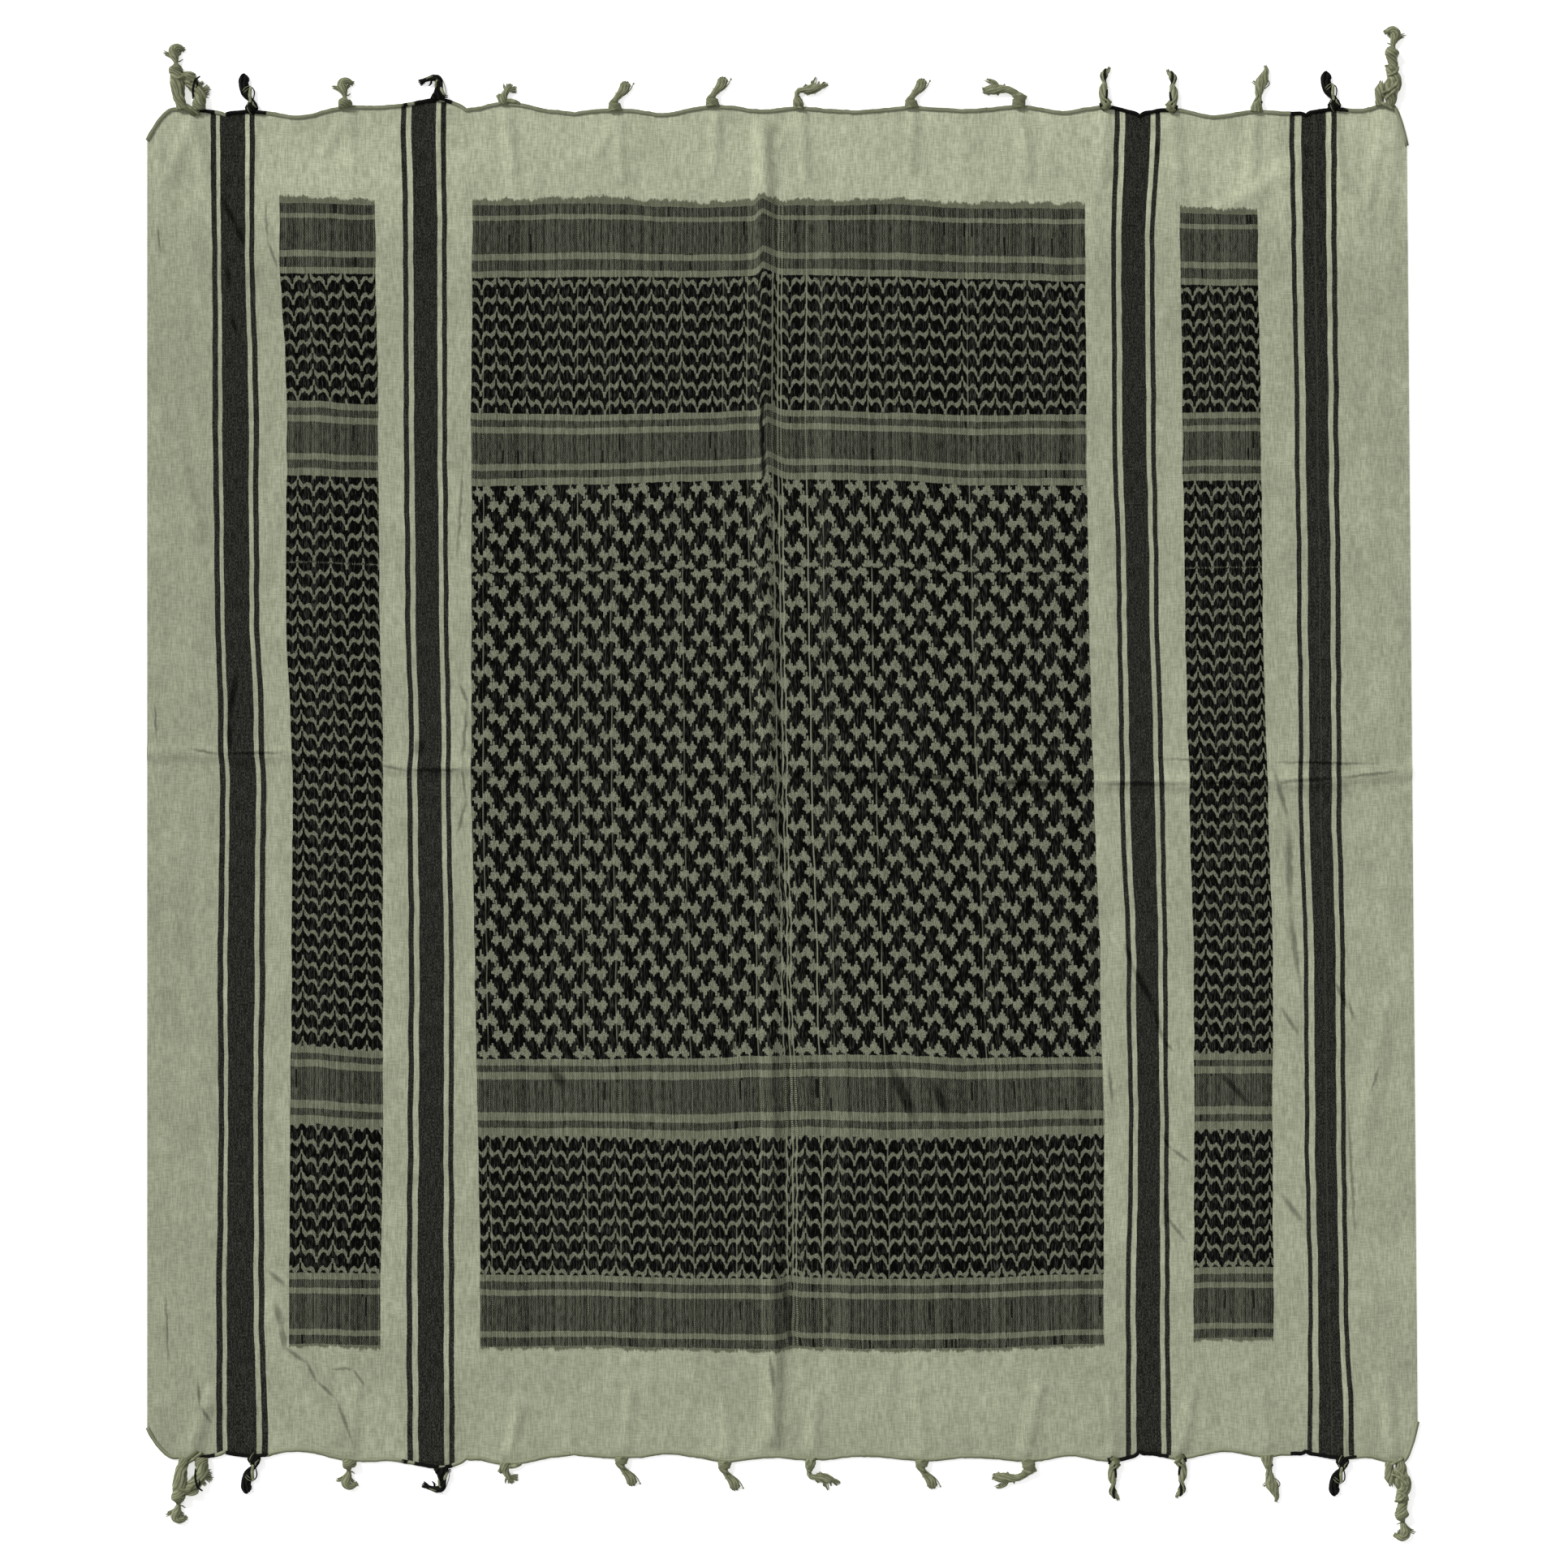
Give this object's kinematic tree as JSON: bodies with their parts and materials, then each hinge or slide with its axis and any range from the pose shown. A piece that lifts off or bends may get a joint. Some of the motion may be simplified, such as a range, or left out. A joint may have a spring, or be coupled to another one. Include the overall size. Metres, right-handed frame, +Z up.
{
  "type": "square headscarf",
  "caption": "Square woven cotton headscarf laid out flat, with patterned panels inside plain borders and dark stripes, rolled hems, and knotted tassels along its ends.",
  "frame": {"origin": "middle of the whole outline, tassels included, on the surface that the scarf lies on", "axes": "+Z up from the surface; +Y along the selvedges, towards the tasselled end that is at the top of the picture; +X to its right"},
  "size_m": [1.0458, 1.243, 0.01],
  "materials": {
    "cloth": "olive-grey plain weave with black pattern yarns, matt cotton",
    "hem": "olive rolled edge, matt cotton",
    "yarn_green": "olive knotted cotton yarn",
    "yarn_black": "black knotted cotton yarn"
  },
  "bodies": {
    "root": {"cloth": "cloth", "hem_bottom": "hem", "hem_top": "hem", "tassel_bottom_01": "yarn_green", "tassel_bottom_02": "yarn_black", "tassel_bottom_03": "yarn_green", "tassel_bottom_04": "yarn_black", "tassel_bottom_05": "yarn_green", "tassel_bottom_06": "yarn_green", "tassel_bottom_07": "yarn_green", "tassel_bottom_08": "yarn_green", "tassel_bottom_09": "yarn_green", "tassel_bottom_10": "yarn_green", "tassel_bottom_11": "yarn_green", "tassel_bottom_12": "yarn_green", "tassel_bottom_13": "yarn_green", "tassel_bottom_14": "yarn_black", "tassel_bottom_15": "yarn_green", "tassel_top_01": "yarn_green", "tassel_top_02": "yarn_black", "tassel_top_03": "yarn_green", "tassel_top_04": "yarn_black", "tassel_top_05": "yarn_green", "tassel_top_06": "yarn_green", "tassel_top_07": "yarn_green", "tassel_top_08": "yarn_green", "tassel_top_09": "yarn_green", "tassel_top_10": "yarn_green", "tassel_top_11": "yarn_green", "tassel_top_12": "yarn_green", "tassel_top_13": "yarn_green", "tassel_top_14": "yarn_black", "tassel_top_15": "yarn_green"}
  },
  "joints": []
}
